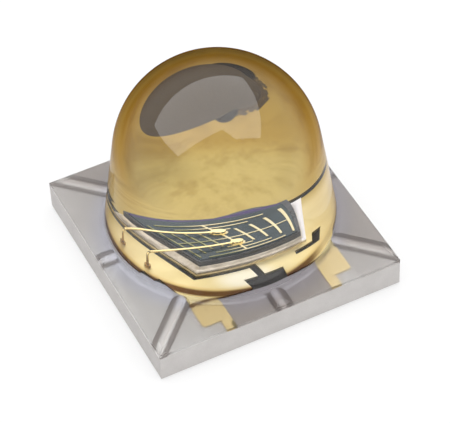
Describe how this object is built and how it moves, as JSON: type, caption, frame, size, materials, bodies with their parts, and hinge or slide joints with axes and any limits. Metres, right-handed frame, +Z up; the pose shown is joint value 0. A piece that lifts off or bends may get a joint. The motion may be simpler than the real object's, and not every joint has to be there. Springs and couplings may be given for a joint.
{
  "type": "surface-mount infrared emitter",
  "caption": "surface-mount infrared emitter: bare chip and bond wires on a gold-plated ceramic plate under a clear silicone dome with raised radial ribs",
  "frame": {"origin": "middle of the ceramic plate's outline, on the underside of the terminals", "axes": "+Z up through the lens; -Y is the side that the two plating tabs run to; +X from the wire pad to the chip"},
  "size_m": [0.0034, 0.0034, 0.0029],
  "materials": {
    "ceramic": "matt, diced edges",
    "terminal_gold": "flash gold over copper, satin",
    "via_copper": "filled, matt",
    "plating_gold": "fine-grained satin gold over copper",
    "solder": "bright silver-grey fillet",
    "chip_carrier": "sawn semiconductor",
    "emitter": "polished dark semiconductor with a thin film",
    "contact_gold": "bright gold",
    "silicone": "clear, glossy"
  },
  "bodies": {
    "root": {"ceramic_plate": "ceramic", "anode_terminal": "terminal_gold", "cathode_terminal": "terminal_gold", "thermal_pad": "terminal_gold", "cathode_via_front": "via_copper", "cathode_via_back": "via_copper", "anode_via_front": "via_copper", "anode_via_back": "via_copper", "wire_pad": "plating_gold", "die_pad": "plating_gold", "die_solder": "solder", "chip_carrier": "chip_carrier", "emitter_layer": "emitter", "contact_grid": "contact_gold", "bond_wire_front": "contact_gold", "bond_wire_back": "contact_gold", "silicone_lens": "silicone"}
  },
  "joints": []
}
